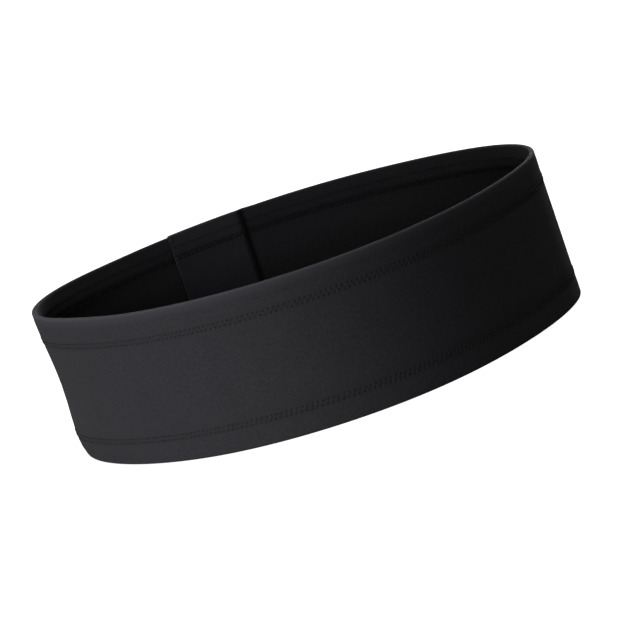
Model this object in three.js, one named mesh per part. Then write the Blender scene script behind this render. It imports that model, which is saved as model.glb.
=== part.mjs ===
// Sports headband: one strip of knitted stretch fabric, hemmed along both edges over a narrow
// elastic tape, with its two ends lapped at the back and sewn together.
//
// Millimetres, +Z up. The band stands on its lower edge as it would on a table. The origin is at
// the middle of its footprint, the forehead faces -Y and the lap is at the back, towards +Y.

import * as THREE from 'three';

// The ring, measured on the outer face of the fabric.
const BAND_HEIGHT = 48;
const MEAN_RADIUS = 86;
const OVAL = 4.6; // longer from front to back than from side to side
const EGG = 1.9; // narrower at the forehead than at the back
const SQUARE = 1.3; // a little squarer than an ellipse

// The fabric and its hems.
const FABRIC_THICKNESS = 0.6;
const HEM_TUNNEL = 0.8;
const HEM_THICKNESS = 2 * FABRIC_THICKNESS + HEM_TUNNEL;
const TOP_HEM_DEPTH = 10.1;
const BOTTOM_HEM_DEPTH = 9.0;
const FOLD_RADIUS = 0.5;

// The elastic tape that lies in the fold of each hem.
const TAPE_WIDTH = 4;
const TAPE_THICKNESS = 0.5;
const CLEARANCE = 0.15;

// Twin-needle stitching of the hems. Each row is measured from its own edge of the band.
const TOP_ROWS = [8.4, 9.6];
const BOTTOM_ROWS = [7.3, 8.5];
const THREAD_DIAMETER = 0.3;
const LOOPER_MARGIN = 0.15;

// The lap at the back. Angles are in degrees about +Z from +X, and the strip runs from its outer
// end, all the way round, to its inner end, which lies under the outer one.
const STATION = 6;
const OUTER_END = 97.6;
const INNER_END = OUTER_END + 378;
const LAP_START = OUTER_END + 360;
const RAMP = 24;
const PLY_GAP = 0.3;
const SEAM_INSET = 1.2;
const SEAM_MARGIN = 1.5;
const SEAM_CLEARANCE = 0.3;
const SEAM_TENSION = 0.1;

const material = (color, roughness) => new THREE.MeshStandardMaterial({ color, roughness, metalness: 0 });
const FABRIC = material(0x2b2b2e, 0.9);
const TAPE = material(0x202022, 0.8);
const THREAD = material(0x1c1c1e, 0.7);

function outerRadius(angle) {
	const fromFront = THREE.MathUtils.degToRad(angle + 90);
	return MEAN_RADIUS
		+ OVAL * Math.cos(2 * fromFront)
		+ EGG * Math.cos(3 * fromFront)
		+ SQUARE * Math.cos(4 * fromFront);
}

// How far the strip has stepped in to pass under its own outer end.
function stepIn(angle) {
	return (HEM_THICKNESS + PLY_GAP) * THREE.MathUtils.smoothstep(angle, LAP_START - RAMP, LAP_START);
}

function pointOnRing(angle, depth, height) {
	const radians = THREE.MathUtils.degToRad(angle);
	const radius = outerRadius(angle) - depth;
	return new THREE.Vector3(radius * Math.cos(radians), radius * Math.sin(radians), height);
}

// The line that the strip's outer face follows, at the height of the band's lower edge.
class StripPath extends THREE.Curve {

	constructor(startAngle, endAngle) {
		super();
		this.startAngle = startAngle;
		this.endAngle = endAngle;
	}

	getPoint(t) {
		const angle = THREE.MathUtils.lerp(this.startAngle, this.endAngle, t);
		return pointOnRing(angle, stepIn(angle), 0);
	}

	// Stations are evenly spaced by angle, so that every piece along the strip shares them.
	getUtoTmapping(u) {
		return u;
	}

}

// Sweeps an outline round the strip. The outline's x is the depth inwards from the outer face and
// its y is the height. The sweep's own axes point down and inwards, hence the quarter turn.
function sweep(outline, startAngle, endAngle) {
	const centre = new THREE.Vector2();
	const turned = outline.map((point) => point.clone().rotateAround(centre, Math.PI / 2));
	return new THREE.ExtrudeGeometry(new THREE.Shape(turned), {
		steps: Math.round((endAngle - startAngle) / STATION),
		extrudePath: new StripPath(startAngle, endAngle),
	});
}

function rectangle(depthFrom, depthTo, heightFrom, heightTo) {
	return [
		new THREE.Vector2(depthFrom, heightFrom),
		new THREE.Vector2(depthTo, heightFrom),
		new THREE.Vector2(depthTo, heightTo),
		new THREE.Vector2(depthFrom, heightTo),
	];
}

function threadOutline(depth = 0, height = 0) {
	const sides = 6;
	return Array.from({ length: sides }, (_, side) => {
		const turn = (2 * Math.PI * side) / sides;
		const x = depth + (THREAD_DIAMETER / 2) * Math.cos(turn);
		const y = height + (THREAD_DIAMETER / 2) * Math.sin(turn);
		return new THREE.Vector2(x, y);
	});
}

// The fabric in section: the wall, and at each edge a hem folded back down the inside of it.
function fabricOutline() {
	const t = FABRIC_THICKNESS;
	const inside = HEM_THICKNESS;
	const top = BAND_HEIGHT;
	const r = FOLD_RADIUS;
	const quarter = Math.PI / 2;
	const outline = new THREE.Shape();
	outline.moveTo(0, r);
	outline.lineTo(0, top - r);
	outline.absarc(r, top - r, r, 2 * quarter, quarter, true);
	outline.absarc(inside - r, top - r, r, quarter, 0, true);
	outline.lineTo(inside, top - TOP_HEM_DEPTH);
	outline.lineTo(inside - t, top - TOP_HEM_DEPTH);
	outline.lineTo(inside - t, top - t);
	outline.lineTo(t, top - t);
	outline.lineTo(t, t);
	outline.lineTo(inside - t, t);
	outline.lineTo(inside - t, BOTTOM_HEM_DEPTH);
	outline.lineTo(inside, BOTTOM_HEM_DEPTH);
	outline.lineTo(inside, r);
	outline.absarc(inside - r, r, r, 0, -quarter, true);
	outline.absarc(r, r, r, -quarter, -2 * quarter, true);
	return outline.getPoints(2).slice(0, -1);
}

function tapeOutline(foldHeight, direction) {
	const nearFold = foldHeight + direction * (FABRIC_THICKNESS + CLEARANCE);
	const farFromFold = nearFold + direction * TAPE_WIDTH;
	const depth = FABRIC_THICKNESS + CLEARANCE;
	return rectangle(depth, depth + TAPE_THICKNESS, nearFold, farFromFold);
}

// The looper thread crosses from row to row on the inside, and is drawn as the strip it covers.
function looperOutline(rowHeights) {
	const depth = HEM_THICKNESS + CLEARANCE;
	const low = Math.min(...rowHeights) - LOOPER_MARGIN;
	const high = Math.max(...rowHeights) + LOOPER_MARGIN;
	return rectangle(depth, depth + THREAD_DIAMETER, low, high);
}

// The ring's narrow front reaches further than its back, so the whole band moves back to centre it.
const headband = new THREE.Group();
headband.position.y = EGG;

function add(name, geometry, finish) {
	const mesh = new THREE.Mesh(geometry, finish);
	mesh.name = name;
	headband.add(mesh);
}

add('fabric_band', sweep(fabricOutline(), OUTER_END, INNER_END), FABRIC);

const HEMS = [
	{ name: 'top_hem', fold: BAND_HEIGHT, direction: -1, rows: TOP_ROWS },
	{ name: 'bottom_hem', fold: 0, direction: 1, rows: BOTTOM_ROWS },
];

// The needle threads show on the outside, up to where the strip passes under its outer end. The
// looper thread shows on the inside, from where the lap ends.
const outsideEnd = LAP_START - STATION;
const insideStart = INNER_END - 360 + STATION;

for (const hem of HEMS) {
	const rowHeights = hem.rows.map((row) => hem.fold + hem.direction * row);
	add(`${hem.name}_elastic`, sweep(tapeOutline(hem.fold, hem.direction), OUTER_END, INNER_END), TAPE);
	for (const [index, side] of ['edge', 'body'].entries()) {
		const outline = threadOutline(-CLEARANCE - THREAD_DIAMETER / 2, rowHeights[index]);
		add(`${hem.name}_${side}_side_needle_thread`, sweep(outline, OUTER_END, outsideEnd), THREAD);
	}
	add(`${hem.name}_looper_thread`, sweep(looperOutline(rowHeights), insideStart, INNER_END), THREAD);
}

// A thread of the lap's seams, along nearly straight runs between [depth, height] pairs at one angle.
function seamThread(angle, route) {
	const points = route.map(([depth, height]) => pointOnRing(angle, depth, height));
	return new THREE.ExtrudeGeometry(new THREE.Shape(threadOutline()), {
		steps: 4 * (points.length - 1),
		extrudePath: new THREE.CatmullRomCurve3(points, false, 'catmullrom', SEAM_TENSION),
	});
}

// The seams cross the hems' threads, so they lie on top of them, outside and inside. Inside, a
// seam dips from the hems to the bare wall between them.
const outsideDepth = -CLEARANCE - THREAD_DIAMETER - SEAM_CLEARANCE - THREAD_DIAMETER / 2;
const hemDepth = 2 * HEM_THICKNESS + PLY_GAP - outsideDepth;
const wallDepth = HEM_THICKNESS + PLY_GAP + FABRIC_THICKNESS - outsideDepth;
const lowEnd = SEAM_MARGIN;
const highEnd = BAND_HEIGHT - SEAM_MARGIN;
const dip = 2 * FOLD_RADIUS;
const outsideRoute = [[outsideDepth, lowEnd], [outsideDepth, highEnd]];
const insideRoute = [
	[hemDepth, lowEnd],
	[hemDepth, BOTTOM_HEM_DEPTH + dip],
	[wallDepth, BOTTOM_HEM_DEPTH + 3 * dip],
	[wallDepth, BAND_HEIGHT - TOP_HEM_DEPTH - 3 * dip],
	[hemDepth, BAND_HEIGHT - TOP_HEM_DEPTH - dip],
	[hemDepth, highEnd],
];

const SEAMS = [
	{ name: 'lap_outer_end_seam', angle: OUTER_END + SEAM_INSET },
	{ name: 'lap_inner_end_seam', angle: INNER_END - 360 - SEAM_INSET },
];

for (const seam of SEAMS) {
	add(`${seam.name}_needle_thread`, seamThread(seam.angle, outsideRoute), THREAD);
	add(`${seam.name}_bobbin_thread`, seamThread(seam.angle, insideRoute), THREAD);
}

export default headband;
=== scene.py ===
"""A stretch-knit sports headband: a hemmed strip of fabric, closed into a ring by a sewn lap.

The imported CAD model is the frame. Each of its nodes is replaced here by a detailed piece: the
knit cloth with its folded hems and needle holes, the elastic tapes inside the hems, and the
threads, stitch by stitch. Metres, +Z up, the forehead towards -Y and the lap at the back.
"""
import math

import bpy
import numpy as np
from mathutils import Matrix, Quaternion, Vector


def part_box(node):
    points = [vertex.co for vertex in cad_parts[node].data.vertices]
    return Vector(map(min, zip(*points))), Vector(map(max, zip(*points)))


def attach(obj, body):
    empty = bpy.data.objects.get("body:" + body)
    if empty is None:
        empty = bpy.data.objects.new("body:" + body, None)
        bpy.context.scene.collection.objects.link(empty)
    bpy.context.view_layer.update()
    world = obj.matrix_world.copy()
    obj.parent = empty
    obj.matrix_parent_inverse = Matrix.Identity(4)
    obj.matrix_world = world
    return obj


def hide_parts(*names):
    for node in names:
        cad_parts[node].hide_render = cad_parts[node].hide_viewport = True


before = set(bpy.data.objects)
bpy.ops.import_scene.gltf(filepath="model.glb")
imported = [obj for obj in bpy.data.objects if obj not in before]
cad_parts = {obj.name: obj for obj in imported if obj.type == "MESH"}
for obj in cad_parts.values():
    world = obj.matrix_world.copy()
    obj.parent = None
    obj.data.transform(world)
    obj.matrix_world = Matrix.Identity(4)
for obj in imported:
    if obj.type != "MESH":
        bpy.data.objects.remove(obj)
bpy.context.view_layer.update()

MM = 0.001

# The ring on the outer face of the fabric, as the CAD part draws it.
BAND_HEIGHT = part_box("fabric_band")[1].z
MEAN_RADIUS = 86 * MM
OVAL = 4.6 * MM
EGG = 1.9 * MM
SQUARE = 1.3 * MM

# The strip runs from its outer end, all the way round, to its inner end under the lap. Degrees.
OUTER_END = 97.6
INNER_END = 475.6
LAP_START = 457.6

# Fabric, hems and the tape in their folds.
FABRIC = 0.6 * MM
HEM = 1.65 * MM
HEM_END = 1.2 * MM
FOLD_HEIGHT = 0.5 * MM
TOP_HEM = 10.1 * MM
BOTTOM_HEM = 9.0 * MM
TAPE_EDGE = 4.85 * MM
TAPE_THICKNESS = 0.36 * MM

# Stitching. Rows are measured from their own edge of the band.
STITCH = 1.65 * MM
TOP_ROWS = (8.4 * MM, 9.6 * MM)
BOTTOM_ROWS = (7.3 * MM, 8.5 * MM)
THREAD_RADIUS = 0.12 * MM
SEAM_STITCH = 1.9 * MM
SEAM_INSET = 0.9 * MM

# Stations of the cloth to a stitch. The needle holes of a hem's two rows fall on different ones.
STATIONS_PER_STITCH = 3
STAGGER = 1.0 / STATIONS_PER_STITCH

# One stitch from hole to hole: places along it, and how far the thread stands off the cloth there.
# At the first place it dives into the hole, by a depth of its own.
STITCH_BEATS = np.array([0.0, 0.14, 0.34, 0.5, 0.66, 0.86])
STITCH_RISES = np.array([-0.02, 0.09, 0.11, 0.09, -0.02]) * MM
HEM_DIVE = 0.30 * MM
SEAM_DIVE = 0.25 * MM

# The lap: how far in the strip steps to pass under its outer end, and over what length.
PAST_HEM = HEM + 0.35 * MM
PAST_WALL = 1.85 * MM
RAMP_LEAD = 1.4 * MM
RAMP_LENGTH = 2.4 * MM

# The valley that the seam by the outer end draws in the ply under it.
DITCH_DEPTH = 0.9 * MM
DITCH_DEPTH_IN_HEM = 0.6 * MM
DITCH_INSET = 0.35 * MM
DITCH_FLOOR = 0.3 * MM
DITCH_REACH = 2.0 * MM

# The outer end sits a little lower than the inner one, as it was sewn, and the rows of the top hem
# wander towards its edge round the back.
LIFT = 0.35 * MM
WANDER = 1.1 * MM

# How the wall stands. At -X, LEFT, it's out at the top, bows in half way down, and tucks in at the
# foot and again at the heel, its very edge. At +X, RIGHT, it spreads out at the foot.
LEFT_FULLNESS = 0.6 * MM
LEFT_BOW = 1.3 * MM
LEFT_TUCK = 1.0 * MM
LEFT_HEEL = 1.8 * MM
LEFT_EDGE_RISE = 0.5 * MM
RIGHT_SPREAD = 0.45 * MM
SLOW_RIPPLE = 0.12 * MM
FINE_RIPPLE = 0.03 * MM

# How far the cloth's tone moves. Positive is lighter: painted highlights along the top fold and painted
# light on the lap, with the cut end's own paler tone. Negative is painted shade in the seam's valley,
# along the inside rows and in the needle holes.
PAINTED_HIGHLIGHT_OUTSIDE_FOLD = 1.8
PAINTED_HIGHLIGHT_INSIDE_FOLD = 0.4
PAINTED_LIGHT_ON_LAP = 0.95
TONE_AT_CUT_END = 0.6
PAINTED_SHADE_IN_DITCH = -1.8
PAINTED_SHADE_ALONG_ROWS = -0.5
PAINTED_SHADE_IN_HOLES = -1.5


# ---------------------------------------------------------------- the strip's shape


def smoothstep(x, low, high):
    t = np.clip((x - low) / (high - low), 0.0, 1.0)
    return t * t * (3.0 - 2.0 * t)


def bell(x, width):
    return np.exp(-0.5 * (x / width) ** 2)


def outer_radius(degrees):
    from_front = np.radians(degrees + 90.0)
    return (
        MEAN_RADIUS
        + OVAL * np.cos(2 * from_front)
        + EGG * np.cos(3 * from_front)
        + SQUARE * np.cos(4 * from_front)
    )


class Strip:
    """The line of the strip's outer face, measured along itself from the outer end."""

    def __init__(self):
        self.degrees = np.linspace(OUTER_END, INNER_END, 7561)
        turn = np.radians(self.degrees)
        radius = outer_radius(self.degrees)
        self.x = radius * np.cos(turn)
        self.y = radius * np.sin(turn) + EGG
        dx, dy = np.gradient(self.x), np.gradient(self.y)
        step = np.hypot(dx, dy)
        self.outward_x, self.outward_y = dy / step, -dx / step
        chords = np.hypot(np.diff(self.x), np.diff(self.y))
        self.along = np.concatenate([[0.0], np.cumsum(chords)])
        self.length = self.along[-1]
        self.lap_start = np.interp(LAP_START, self.degrees, self.along)
        self.lap = self.length - self.lap_start
        self.stitches = round(self.length / STITCH)
        self.stitch = self.length / self.stitches

    def angle(self, s):
        return np.interp(s, self.along, self.degrees)

    def place(self, s, depth, height):
        """Points at a distance along the strip, a depth in from its outer face and a height."""
        s, depth, height = np.broadcast_arrays(s, depth, height)
        degrees = self.angle(s)
        inwards = depth + ply_step(s, height) + lean(degrees, height) + ripple(s, height)
        x = np.interp(s, self.along, self.x) - inwards * np.interp(s, self.along, self.outward_x)
        y = np.interp(s, self.along, self.y) - inwards * np.interp(s, self.along, self.outward_y)
        z = height + lift(s) + wander(degrees, height) + edge_rise(degrees, height)
        return np.stack([x, y, z], axis=-1)


def ply_step(s, height):
    """How far the strip steps in to pass under its own outer end: more at the thick hems."""
    over_bottom = 1.0 - smoothstep(height, BOTTOM_HEM + 0.5 * MM, BOTTOM_HEM + 3.5 * MM)
    over_top = smoothstep(height, BAND_HEIGHT - TOP_HEM - 3.5 * MM, BAND_HEIGHT - TOP_HEM - 0.5 * MM)
    hem = np.maximum(over_bottom, over_top)
    step = PAST_WALL + (PAST_HEM - PAST_WALL) * hem
    ditch = DITCH_DEPTH + (DITCH_DEPTH_IN_HEM - DITCH_DEPTH) * hem
    ramp_start = STRIP.lap_start - RAMP_LEAD
    return step * smoothstep(s, ramp_start, ramp_start + RAMP_LENGTH) - ditch * in_ditch(s)


def in_ditch(s):
    """1 along the floor of the seam's valley in the inner ply, and 0 away from it."""
    from_middle = np.abs(s - STRIP.lap_start - DITCH_INSET)
    return 1.0 - smoothstep(from_middle, DITCH_FLOOR, DITCH_REACH)


def lift(s):
    """The inner end rides up a little on its way to the lap, and a little more inside it."""
    before = smoothstep(s, STRIP.lap_start - 70 * MM, STRIP.lap_start - 10 * MM)
    inside = smoothstep(s, STRIP.lap_start - 6 * MM, STRIP.lap_start + 4 * MM)
    return LIFT * (before + inside)


def wander(degrees, height):
    """The top hem is a little shallower round the back, where its rows sit nearer the edge."""
    at_back = smoothstep(np.sin(np.radians(degrees)), -0.1, 0.6)
    down = BAND_HEIGHT - height
    stitched = smoothstep(down, 2.0 * MM, 7.5 * MM) * (1.0 - smoothstep(down, 11 * MM, 24 * MM))
    return WANDER * at_back * stitched


def edge_rise(degrees, height):
    """The top edge stands a little higher towards -X."""
    up = np.clip(height / BAND_HEIGHT, 0.0, 1.0)
    towards_left = smoothstep(-np.cos(np.radians(degrees)), 0.6, 0.95)
    return LEFT_EDGE_RISE * up ** 2 * towards_left


def lean(degrees, height):
    """How far inwards the wall stands from upright."""
    up = np.clip(height / BAND_HEIGHT, 0.0, 1.0)
    bow = np.sin(np.pi * up) ** 2
    foot = (1.0 - up) ** 2
    left = np.clip(-np.cos(np.radians(degrees)), 0.0, 1.0) ** 2
    right = np.clip(np.cos(np.radians(degrees)), 0.0, 1.0) ** 2
    tuck = LEFT_TUCK * foot + LEFT_HEEL * foot ** 6
    return left * (LEFT_BOW * bow + tuck - LEFT_FULLNESS) - right * RIGHT_SPREAD * foot


def ripple(s, height):
    """The slow unevenness of soft cloth standing on its edge."""
    around = 2 * np.pi * s / STRIP.lap_start
    up = height / BAND_HEIGHT
    slow = np.sin(5 * around + 0.7) * np.cos(1.6 * up + 0.3) + 0.6 * np.sin(9 * around + 2.1 * up)
    fine = np.sin(31 * around + 3.0 * up) * np.sin(np.pi * np.clip(up, 0.0, 1.0))
    return SLOW_RIPPLE * slow + FINE_RIPPLE * fine


STRIP = Strip()


def hem_rows():
    """Each row's height and how far its needle holes sit along a stitch."""
    return [
        (BOTTOM_ROWS[0], STAGGER),
        (BOTTOM_ROWS[1], 2 * STAGGER),
        (BAND_HEIGHT - TOP_ROWS[0], STAGGER),
        (BAND_HEIGHT - TOP_ROWS[1], 2 * STAGGER),
    ]


def stitched_in(s, height, groove, hole):
    """How far the stitches pull the cloth in at a point: a groove along each row, with a pit at
    each needle hole, and a groove down each seam of the lap."""
    total = hole * needle_holes(s, height)
    for row, _ in hem_rows():
        total += groove * bell(height - row, 0.4 * MM)
    for seam in seam_places():
        total += groove * 1.3 * bell(s - seam, 0.5 * MM)
    return total


def needle_holes(s, height):
    """1 in the middle of a needle hole and 0 away from them."""
    total = np.zeros(np.broadcast(s, height).shape)
    for row, phase in hem_rows():
        from_hole = (s / STRIP.stitch - phase + 0.5) % 1.0 - 0.5
        total += bell(height - row, 0.25 * MM) * bell(from_hole * STRIP.stitch, 0.26 * MM)
    return total


def seam_places():
    """Where the lap's two seams cross the strip, on its outer ply and on its inner one."""
    near_outer_end = SEAM_INSET
    near_inner_end = STRIP.lap - SEAM_INSET
    on_outer = [near_outer_end, near_inner_end]
    return on_outer + [STRIP.lap_start + place for place in on_outer]


def hem_depth(height):
    return np.where(height > BAND_HEIGHT / 2, TOP_HEM, BOTTOM_HEM)


def hem_thickness(height):
    """The hem thins where its rows of stitches draw it in, and creases at the tape's edge."""
    from_fold = np.minimum(height, BAND_HEIGHT - height)
    from_end = hem_depth(height) - from_fold
    past_tape = smoothstep(from_fold, TAPE_EDGE - 0.25 * MM, TAPE_EDGE + 0.25 * MM)
    thinning = 1.0 - smoothstep(from_end, 0.9 * MM, 2.0 * MM)
    return HEM + (HEM_END - HEM) * (0.55 * past_tape + 0.45 * thinning)


def outer_face(s, height):
    """Depth of the outer face: pulled in by the stitches, and a little full over the tapes."""
    from_edge = np.minimum(height, BAND_HEIGHT - height)
    fullness = 0.04 * MM * bell(from_edge - 3.6 * MM, 1.8 * MM)
    return stitched_in(s, height, groove=0.0, hole=0.32 * MM) - fullness


def flap_face(s, height):
    """Depth of a hem flap's inner face."""
    return hem_thickness(height) - stitched_in(s, height, groove=0.28 * MM, hole=0.10 * MM)


# ---------------------------------------------------------------- meshes


def new_object(name, vertices, faces, coordinates, material):
    """A mesh piece. coordinates is each vertex's place in the material, in metres."""
    mesh = bpy.data.meshes.new(name)
    mesh.from_pydata(vertices.tolist(), [], faces)
    attribute = mesh.attributes.new("strip", "FLOAT_VECTOR", "POINT")
    attribute.data.foreach_set("vector", coordinates.astype(np.float32).ravel())
    mesh.polygons.foreach_set("use_smooth", [True] * len(mesh.polygons))
    mesh.materials.append(material)
    mesh.update()
    made = bpy.data.objects.new(name, mesh)
    bpy.context.scene.collection.objects.link(made)
    return made


def grid_faces(rings, ring_size):
    """Quads that join each closed ring of vertices to the next."""
    ring = np.arange(rings - 1)[:, None] * ring_size
    next_ring = ring + ring_size
    side = np.arange(ring_size)[None, :]
    after = (side + 1) % ring_size
    quads = np.stack([ring + side, ring + after, next_ring + after, next_ring + side], -1)
    return quads.reshape(-1, 4)


def lofted(name, rings, along, around, material, tone=0.0):
    """A closed body from rings of vertices, rings[station, side], capped at both ends."""
    stations, sides = rings.shape[:2]
    faces = grid_faces(stations, sides).tolist()
    faces.append(list(range(sides))[::-1])
    last = (stations - 1) * sides
    faces.append([last + side for side in range(sides)])
    s = np.broadcast_to(along[:, None], (stations, sides))
    v = np.broadcast_to(around[None, :], (stations, sides))
    # The third coordinate is the tone shift; on the cloth it carries painted highlights and painted
    # shade.
    coordinates = np.stack([s, v, np.broadcast_to(tone, s.shape)], -1).reshape(-1, 3)
    made = new_object(name, rings.reshape(-1, 3), faces, coordinates, material)
    outward(made)
    return made


def outward(piece):
    """Turns the faces outwards where the rings were laid the other way round."""
    mesh = piece.data
    mesh.calc_loop_triangles()
    count = len(mesh.loop_triangles)
    corners = np.zeros(count * 3, np.int64)
    mesh.loop_triangles.foreach_get("vertices", corners)
    points = np.zeros(len(mesh.vertices) * 3)
    mesh.vertices.foreach_get("co", points)
    a, b, c = points.reshape(-1, 3)[corners.reshape(-1, 3)].transpose(1, 0, 2)
    if (a * np.cross(b, c)).sum() < 0:
        mesh.flip_normals()


# The outer face and the flaps' faces follow the stitches. The rest of the section is plain.
OUTSIDE, FLAP, PLAIN = range(3)


def section():
    """The cloth in section, as (depth, height, which face) points in order round it.

    From the bottom fold up the outer face, over the top fold, down and round its flap, down the
    wall's inner face, and round the bottom flap. The depths of the outer face and of the flaps'
    faces are worked out later, at each station.
    """
    rows = np.array([-1.6, -0.6, -0.27, 0.0, 0.3, 0.6, 0.9, 1.2, 1.47, 1.8]) * MM
    bottom_rows = BOTTOM_ROWS[0] + rows
    top_rows = BAND_HEIGHT - (TOP_ROWS[0] + rows)[::-1]
    half = HEM / 2
    up_outside = np.concatenate(
        [
            [0.95 * MM, 3.4 * MM],
            bottom_rows,
            np.linspace(BOTTOM_HEM + 3.5 * MM, BAND_HEIGHT - TOP_HEM - 3.5 * MM, 5),
            top_rows,
            [BAND_HEIGHT - 3.4 * MM, BAND_HEIGHT - 0.95 * MM],
        ]
    )
    points = [(0.0, height, OUTSIDE) for height in up_outside]

    def fold(flip):
        turns = np.linspace(0.0, np.pi, 7)
        arc = [(half * (1 - math.cos(t)), FOLD_HEIGHT * (1 - math.sin(t))) for t in turns]
        return [(depth, BAND_HEIGHT - rise if flip else rise, PLAIN) for depth, rise in arc]

    def flap(hem, crease, flap_rows):
        """From the fold down the flap, round its raw edge and back up inside the hem."""
        down = [0.95 * MM, *(TAPE_EDGE + crease), *flap_rows]
        shown = [(0.0, from_fold, FLAP) for from_fold in down]
        shown.append((HEM_END - 0.1 * MM, hem - 0.08 * MM, PLAIN))
        shown.append((HEM_END - 0.3 * MM, hem, PLAIN))
        tunnel = HEM_END - FABRIC
        over = HEM - FABRIC
        hidden = [
            (tunnel, hem - 0.15 * MM, PLAIN),
            (over, TAPE_EDGE, PLAIN),
            (over, 1.0 * MM, PLAIN),
            ((over + FABRIC) / 2, FABRIC, PLAIN),
            (FABRIC, 1.0 * MM, PLAIN),
            (FABRIC, TAPE_EDGE, PLAIN),
        ]
        return shown + hidden

    flap_rows = np.array([-1.0, -0.45, 0.0, 0.3, 0.6, 0.9, 1.2, 1.45]) * MM
    crease = np.array([-0.8, -0.3, -0.12, 0.0, 0.12, 0.3, 0.8]) * MM
    top_flap = flap(TOP_HEM, crease, TOP_ROWS[0] + flap_rows)
    bottom_flap = flap(BOTTOM_HEM, crease[1::2], BOTTOM_ROWS[0] + flap_rows[::2])
    points += fold(flip=True)
    points += [(depth, BAND_HEIGHT - rise, face) for depth, rise, face in top_flap]
    wall = np.linspace(BAND_HEIGHT - TOP_HEM + 1.0 * MM, BOTTOM_HEM - 1.0 * MM, 6)
    points += [(FABRIC, height, PLAIN) for height in wall]
    points += bottom_flap[::-1]
    points += fold(flip=False)[::-1]
    depth, height, face = (np.array(column) for column in zip(*points))
    return depth, height, face.astype(int)


def cloth_tone_and_painted_light(s, depth, height):
    """How far the cloth's tone moves: painted highlights along the top fold, stronger on its outside,
    painted light on the lap and the cut end's own paler tone; painted shade in the seam's valley, along
    the stitched rows inside and in the holes."""
    fold = smoothstep(height, BAND_HEIGHT - 1.6 * MM, BAND_HEIGHT - 0.3 * MM)
    outside = 1.0 - smoothstep(depth, 0.35 * HEM, 0.75 * HEM)
    from_end = hem_depth(height) - np.minimum(height, BAND_HEIGHT - height)
    # The band inside the hem along its rows, which takes painted shade.
    rows = (1.0 - outside) * (1.0 - smoothstep(from_end, 1.8 * MM, 2.15 * MM))
    rows = rows * smoothstep(from_end, -0.2 * MM, 0.0)
    lap = smoothstep(s, STRIP.lap_start - 0.5 * MM, STRIP.lap_start + 1.5 * MM)
    cut_end = smoothstep(s, STRIP.length - 1.2 * MM, STRIP.length - 0.6 * MM)
    holes = outside * needle_holes(s, height)
    # Painted highlight along the top fold, stronger on its outside, then painted light on the lap, with
    # the cut end's own paler tone.
    painted_fold_highlight = PAINTED_HIGHLIGHT_INSIDE_FOLD + (PAINTED_HIGHLIGHT_OUTSIDE_FOLD - PAINTED_HIGHLIGHT_INSIDE_FOLD) * outside
    painted_light_and_pale_cut_end = painted_fold_highlight * fold + PAINTED_LIGHT_ON_LAP * lap + TONE_AT_CUT_END * cut_end
    # Painted shade in the seam's valley, along the stitched rows inside and in the needle holes.
    painted_shade = PAINTED_SHADE_IN_DITCH * in_ditch(s) + PAINTED_SHADE_ALONG_ROWS * rows + PAINTED_SHADE_IN_HOLES * holes
    return painted_light_and_pale_cut_end + painted_shade


def make_cloth(material):
    depth, height, face = section()
    count = STRIP.stitches * STATIONS_PER_STITCH + 1
    s = np.linspace(0.0, STRIP.length, count)
    station = s[:, None]
    level = np.broadcast_to(height, (count, len(height)))
    depths = np.broadcast_to(depth, level.shape).copy()
    outside, flap = face == OUTSIDE, face == FLAP
    depths[:, outside] = outer_face(station, height[None, outside])
    depths[:, flap] = flap_face(station, height[None, flap])
    rings = STRIP.place(station, depths, level)
    steps = np.hypot(np.diff(depth), np.diff(height))
    around = np.concatenate([[0.0], np.cumsum(steps)])
    # The tone shift at each point: painted highlight on the fold, painted light on the lap, the paler cut
    # end, and painted shade in the valley, rows and holes.
    tone = cloth_tone_and_painted_light(station, depths, level)
    return lofted("fabric_band_cloth", rings, s, around, material, tone)


def make_tape(name, top, material):
    """Flat elastic tape lying in a hem's fold, for the whole length of the strip."""
    s = np.linspace(0.0, STRIP.length, 260)[:, None]
    gap = 0.04 * MM
    near, far = 0.9 * MM, TAPE_EDGE - 0.4 * MM
    shallow, deep = FABRIC + gap, FABRIC + gap + TAPE_THICKNESS
    rises = np.array([near, far, far + 0.05 * MM, far, near, near - 0.05 * MM])
    middle = (shallow + deep) / 2
    depths = np.array([shallow, shallow, middle, deep, deep, middle])
    heights = BAND_HEIGHT - rises if top else rises
    rings = STRIP.place(s, depths[None, :], heights[None, :])
    around = np.concatenate([[0.0], np.cumsum(np.hypot(np.diff(depths), np.diff(rises)))])
    return lofted(name, rings, s[:, 0], around, material)


def tube(name, path, radius, material):
    """A round thread along a list of points."""
    sides = 5
    tangent = np.gradient(path, axis=0)
    tangent /= np.linalg.norm(tangent, axis=1)[:, None]
    upright = abs(tangent[:, 2]).mean() > 0.7
    reference = np.array([1.0, 0.0, 0.0]) if upright else np.array([0.0, 0.0, 1.0])
    side = np.cross(tangent, reference)
    side /= np.linalg.norm(side, axis=1)[:, None]
    other = np.cross(side, tangent)
    turns = np.linspace(0.0, 2 * np.pi, sides, endpoint=False)
    across = np.cos(turns)[None, :, None] * side[:, None, :]
    upwards = np.sin(turns)[None, :, None] * other[:, None, :]
    rings = path[:, None, :] + radius * (across + upwards)
    along = np.concatenate([[0.0], np.cumsum(np.linalg.norm(np.diff(path, axis=0), axis=1))])
    return lofted(name, rings, along, turns * radius, material)


def row_of_stitches(count, dive):
    """Places along a row, counted in stitches, and how far the thread stands off at each one."""
    places = np.arange(count)[:, None] + STITCH_BEATS[None, :]
    return places.ravel(), np.tile([-dive, *STITCH_RISES], count)


def needle_thread(name, row, phase, material):
    """A row of stitches on the outside: each lies on the cloth and dives into the next hole."""
    places, rises = row_of_stitches(STRIP.stitches - 1, HEM_DIVE)
    sunk = 0.06 * MM - 0.4 * THREAD_RADIUS
    path = STRIP.place((places + phase) * STRIP.stitch, sunk - rises, row)
    return tube(name, path, THREAD_RADIUS, material)


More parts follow.
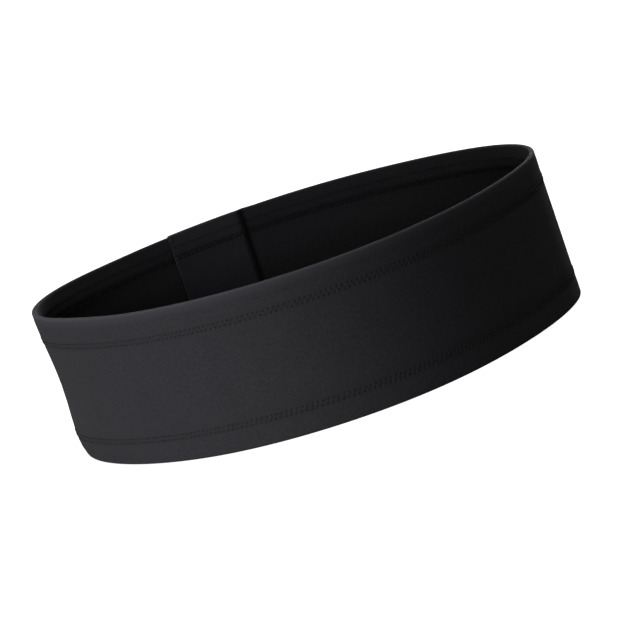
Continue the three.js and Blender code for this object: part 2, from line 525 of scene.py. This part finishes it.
def looper_thread(name, rows, top, material):
    """The underside of the hem: one thread that crosses from row to row over the flap."""
    low, high = min(rows) - 0.2 * MM, max(rows) + 0.2 * MM
    beats = np.array([0.0, 0.12, 0.38, 0.5, 0.62, 0.88])
    across = np.array([0.0, 0.06, 0.94, 1.0, 0.94, 0.06])
    forward = np.array([0.0, 0.2, 0.3, 0.5, 0.7, 0.8])
    stitch = np.arange(STRIP.stitches - 1)[:, None]
    s = ((stitch + STAGGER + forward[None, :]) * STRIP.stitch).ravel()
    shape = (STRIP.stitches - 1, len(beats))
    rise = np.broadcast_to(low + (high - low) * across, shape).ravel()
    height = BAND_HEIGHT - rise if top else rise
    face = HEM_END - 0.24 * MM
    over = np.broadcast_to(np.sin(2 * np.pi * beats) ** 2, shape).ravel()
    path = STRIP.place(s, face + THREAD_RADIUS * (0.3 + 0.9 * over), height)
    return tube(name, path, 1.4 * THREAD_RADIUS, material)


def seam_thread(name, s, inside, material):
    """A row of stitches up the lap, on the outer ply's outside or the inner ply's inside."""
    low, high = 1.6 * MM, BAND_HEIGHT - 1.6 * MM
    stitches = round((high - low) / SEAM_STITCH)
    places, rises = row_of_stitches(stitches, SEAM_DIVE)
    height = low + (high - low) * places / stitches
    rise = rises + 0.5 * THREAD_RADIUS
    if inside:
        from_edge = np.minimum(height, BAND_HEIGHT - height)
        hem = hem_depth(height)
        on_flap = 1.0 - smoothstep(from_edge, hem - 0.2 * MM, hem + 0.9 * MM)
        flap = flap_face(s, height)
        depth = FABRIC + (flap - FABRIC) * on_flap + rise
    else:
        depth = outer_face(s, height) - rise
    path = STRIP.place(np.full_like(height, s), depth, height)
    return tube(name, path, THREAD_RADIUS, material)


# ---------------------------------------------------------------- materials


def shade(colour, factor):
    return tuple(channel * factor for channel in colour)


class Nodes:
    """A material's node tree, with short calls for the nodes that this file needs."""

    def __init__(self, name):
        self.material = bpy.data.materials.new(name)
        self.material.use_nodes = True
        self.tree = self.material.node_tree
        self.shader = self.tree.nodes["Principled BSDF"]

    def link(self, source, target):
        self.tree.links.new(source, target)

    def strip(self):
        """The whole coordinate, then its parts: the distance along the cloth or thread and round it, in
        metres, and how far the cloth's tone moves there, which on the cloth carries its painted
        highlights and painted shade."""
        node = self.tree.nodes.new("ShaderNodeAttribute")
        node.attribute_name = "strip"
        split = self.tree.nodes.new("ShaderNodeSeparateXYZ")
        self.link(node.outputs["Vector"], split.inputs[0])
        return node.outputs["Vector"], *split.outputs

    def math(self, operation, *values):
        node = self.tree.nodes.new("ShaderNodeMath")
        node.operation = operation
        for socket, value in zip(node.inputs, values):
            if isinstance(value, (int, float)):
                socket.default_value = value
            else:
                self.link(value, socket)
        return node.outputs[0]

    def noise(self, vector, scale, detail=2.0):
        node = self.tree.nodes.new("ShaderNodeTexNoise")
        node.inputs["Scale"].default_value = scale
        node.inputs["Detail"].default_value = detail
        self.link(vector, node.inputs["Vector"])
        return node.outputs["Fac"]

    def paint(self, tone, colour, dark, light):
        """Paints the colour's dark shade where the tone is 0, its light one at 1, and on past them."""
        node = self.tree.nodes.new("ShaderNodeMix")
        node.data_type = "RGBA"
        node.clamp_factor = False
        self.link(tone, node.inputs["Factor"])
        node.inputs["A"].default_value = (*shade(colour, dark), 1.0)
        node.inputs["B"].default_value = (*shade(colour, light), 1.0)
        self.link(node.outputs["Result"], self.shader.inputs["Base Color"])

    def bump(self, height, distance, strength):
        node = self.tree.nodes.new("ShaderNodeBump")
        node.inputs["Distance"].default_value = distance
        node.inputs["Strength"].default_value = strength
        self.link(height, node.inputs["Height"])
        self.link(node.outputs["Normal"], self.shader.inputs["Normal"])

    def finish(self, roughness, sheen, sheen_roughness, specular):
        self.shader.inputs["Roughness"].default_value = roughness
        self.shader.inputs["Sheen Weight"].default_value = sheen
        self.shader.inputs["Sheen Roughness"].default_value = sheen_roughness
        self.shader.inputs["Specular IOR Level"].default_value = specular
        return self.material


def knit_fabric():
    """Fine jersey: columns of small V-shaped loops, with a soft nap and a faint mottle. The loops' crowns
    are painted lighter and the gaps between them darker, as painted shade.
    """
    wale, course = 0.56 * MM, 0.42 * MM
    colour = (0.0325, 0.0315, 0.0365)
    nodes = Nodes("charcoal_knit")
    vector, along, around, painted_light_and_pale_cut_end = nodes.strip()
    column = nodes.math("SUBTRACT", nodes.math("FRACT", nodes.math("DIVIDE", along, wale)), 0.5)
    from_middle = nodes.math("MULTIPLY", nodes.math("ABSOLUTE", column), 2.0)
    slant = nodes.math("MULTIPLY", from_middle, 0.55)
    loop = nodes.math("FRACT", nodes.math("SUBTRACT", nodes.math("DIVIDE", around, course), slant))
    arch = nodes.math("SINE", nodes.math("MULTIPLY", loop, math.pi))
    ridge = nodes.math("SUBTRACT", 1.0, nodes.math("POWER", from_middle, 3.0))
    yarn = nodes.math("MULTIPLY", arch, ridge)
    fuzz = nodes.noise(vector, 2600.0, 3.0)
    mottle = nodes.noise(vector, 95.0, 4.0)
    height = nodes.math("ADD", yarn, nodes.math("MULTIPLY", fuzz, 0.8))
    nodes.bump(height, 0.05 * MM, 0.55)
    grain = nodes.noise(vector, 900.0, 3.0)
    # The loops' height also lightens their crowns and darkens the gaps between them: painted shade
    # between the loops.
    tone = nodes.math("ADD", nodes.math("MULTIPLY", yarn, 0.30), nodes.math("MULTIPLY", fuzz, 1.1))
    tone = nodes.math("ADD", tone, nodes.math("MULTIPLY", mottle, 0.55))
    tone = nodes.math("ADD", tone, nodes.math("MULTIPLY", grain, 1.5))
    # The cloth's painted highlights, painted light on the lap and painted shade, with its paler cut end,
    # come in from the mesh.
    tone = nodes.math("ADD", tone, painted_light_and_pale_cut_end)
    nodes.paint(tone, colour, dark=0.15, light=0.65)
    return nodes.finish(roughness=0.88, sheen=0.05, sheen_roughness=0.45, specular=0.22)


def braided_elastic():
    """Narrow braided tape: slanting ribs crossed by rubber cords."""
    colour = (0.020, 0.020, 0.022)
    nodes = Nodes("black_elastic")
    vector, along, around, _ = nodes.strip()
    rib, cord = 0.9 * MM, 0.7 * MM
    ribs = nodes.math("SINE", nodes.math("MULTIPLY", nodes.math("ADD", along, around), 2 * math.pi / rib))
    cords = nodes.math("SINE", nodes.math("MULTIPLY", around, 2 * math.pi / cord))
    height = nodes.math("ADD", nodes.math("MULTIPLY", ribs, 0.5), cords)
    nodes.bump(height, 0.05 * MM, 0.6)
    tone = nodes.noise(vector, 700.0)
    nodes.paint(tone, colour, dark=0.7, light=1.3)
    return nodes.finish(roughness=0.7, sheen=0.02, sheen_roughness=0.4, specular=0.3)


def spun_thread(name, colour):
    """Two-ply sewing thread: the plies' twist shows as slanting ridges, painted lighter on their crests
    and darker in the grooves between them, as painted shade.
    """
    nodes = Nodes(name)
    vector, along, around, _ = nodes.strip()
    plies = 2
    pitch = 0.5 * MM
    turns_along = nodes.math("DIVIDE", along, pitch)
    turns_round = nodes.math("DIVIDE", around, 2 * math.pi * THREAD_RADIUS)
    turn = nodes.math("ADD", turns_along, turns_round)
    twist = nodes.math("SINE", nodes.math("MULTIPLY", turn, plies * 2 * math.pi))
    nodes.bump(twist, 0.03 * MM, 0.6)
    # The twist also lightens the crests and darkens the grooves: painted shade between the plies.
    tone = nodes.math("ADD", nodes.math("MULTIPLY", twist, 0.25), nodes.noise(vector, 1500.0))
    nodes.paint(tone, colour, dark=0.7, light=1.3)
    return nodes.finish(roughness=0.6, sheen=0.03, sheen_roughness=0.4, specular=0.35)


def pale_floor():
    nodes = Nodes("studio_floor")
    nodes.shader.inputs["Base Color"].default_value = (0.9, 0.9, 0.9, 1.0)
    nodes.shader.inputs["Emission Color"].default_value = (1.0, 1.0, 1.0, 1.0)
    nodes.shader.inputs["Emission Strength"].default_value = 0.96
    return nodes.finish(roughness=0.9, sheen=0.0, sheen_roughness=0.5, specular=0.0)


# ---------------------------------------------------------------- the studio


def make_floor():
    size = 60.0
    bpy.ops.mesh.primitive_plane_add(size=size, location=(0.0, 0.0, -0.02 * MM))
    floor = bpy.context.object
    floor.name = "studio_floor"
    floor.data.materials.append(pale_floor())
    floor.visible_diffuse = False
    floor.visible_glossy = False


def aim(thing, place, target, roll=0.0):
    """Puts a camera or light at a place, facing the target and turned about its own view."""
    thing.location = place
    thing.rotation_mode = "QUATERNION"
    facing = (Vector(target) - Vector(place)).to_track_quat("-Z", "Y")
    thing.rotation_quaternion = facing @ Quaternion((0, 0, 1), math.radians(roll))


def round_about(target, azimuth, elevation, distance):
    """A place at a distance from the target. Azimuth 0 is in front, 90 is to the right."""
    a, e = math.radians(azimuth), math.radians(elevation)
    back = Vector((math.sin(a) * math.cos(e), -math.cos(a) * math.cos(e), math.sin(e)))
    return Vector(target) + back * distance


RING_CENTRE = (0.0, EGG, BAND_HEIGHT / 2)


def make_camera():
    camera = bpy.data.objects.new("camera", bpy.data.cameras.new("camera"))
    bpy.context.scene.collection.objects.link(camera)
    distance, elevation, roll = 17 * MEAN_RADIUS, 8.3, -18.25
    aim(camera, round_about(RING_CENTRE, 0.0, elevation, distance), RING_CENTRE, roll)
    camera.data.lens = 269.4
    camera.data.shift_x = 0.0045
    camera.data.shift_y = -0.0106
    camera.data.clip_start = 0.05
    camera.data.clip_end = 200.0
    bpy.context.scene.camera = camera


def soft_light(name, direction, size, power, colour):
    """A soft box. The keys are thin and level with the band, so they don't reach down inside it."""
    data = bpy.data.lights.new(name, "AREA")
    data.shape = "RECTANGLE"
    data.size, data.size_y = size
    data.energy = power
    data.color = colour
    light = bpy.data.objects.new(name, data)
    light.visible_camera = False
    bpy.context.scene.collection.objects.link(light)
    azimuth, elevation = direction
    aim(light, round_about(RING_CENTRE, azimuth, elevation, 2.5), RING_CENTRE)


def make_lights():
    cool = (1.0, 0.985, 1.0)
    neutral = (1.0, 1.0, 1.0)
    soft_light("key_left", (-80.0, 0.0), (1.2, 0.045), 19.0, cool)
    soft_light("key_left_front", (-50.0, 0.0), (1.2, 0.045), 24.0, cool)
    soft_light("fill_front", (-6.0, 7.8), (0.9, 0.36), 11.8, neutral)
    soft_light("fill_back", (169.0, 8.0), (0.9, 0.36), 15.0, neutral)
    sky = bpy.data.objects.new("overhead", bpy.data.lights.new("overhead", "SUN"))
    sky.data.energy = 1.1
    sky.data.angle = math.radians(35)
    bpy.context.scene.collection.objects.link(sky)


def make_world():
    world = bpy.data.worlds.new("white")
    world.use_nodes = True
    world.node_tree.nodes["Background"].inputs["Color"].default_value = (1.0, 1.0, 1.0, 1.0)
    world.cycles_visibility.diffuse = False
    world.cycles_visibility.glossy = False
    bpy.context.scene.world = world
    bpy.context.scene.view_settings.view_transform = "Standard"


# ---------------------------------------------------------------- the headband


def ride(piece, node):
    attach(piece, "root")
    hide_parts(node)
    return piece


def make_headband():
    needle = spun_thread("charcoal_needle_thread", (0.029, 0.0285, 0.032))
    # The under thread is black, and darker still than the needle thread as painted shade along the hems'
    # stitched band inside and the seam's valley.
    under = spun_thread("black_under_thread_with_painted_shade", (0.006, 0.006, 0.007))
    elastic = braided_elastic()
    cloth = ride(make_cloth(knit_fabric()), "fabric_band")
    for hem, rows, top in (("top_hem", TOP_ROWS, True), ("bottom_hem", BOTTOM_ROWS, False)):
        tape = make_tape(f"{hem}_elastic_tape", top, elastic)
        ride(tape, f"{hem}_elastic")
        for index, side in enumerate(("edge", "body")):
            height = BAND_HEIGHT - rows[index] if top else rows[index]
            name = f"{hem}_{side}_side_needle_thread"
            row = needle_thread(f"{name}_stitches", height, (index + 1) * STAGGER, needle)
            ride(row, name)
        looper = looper_thread(f"{hem}_looper_thread_stitches", rows, top, under)
        ride(looper, f"{hem}_looper_thread")
    seams = {"outer": SEAM_INSET, "inner": STRIP.lap - SEAM_INSET}
    for end, s in seams.items():
        name = f"lap_{end}_end_seam"
        top_side = seam_thread(f"{name}_needle_thread_stitches", s, False, needle)
        # The outer end's seam lies in the valley, so its bobbin takes the darker under thread, painting
        # shade along the valley.
        bobbin = under if end == "outer" else needle
        under_side = seam_thread(f"{name}_bobbin_thread_stitches", STRIP.lap_start + s, True, bobbin)
        ride(top_side, f"{name}_needle_thread")
        ride(under_side, f"{name}_bobbin_thread")


make_world()
make_camera()
make_lights()
make_floor()
make_headband()
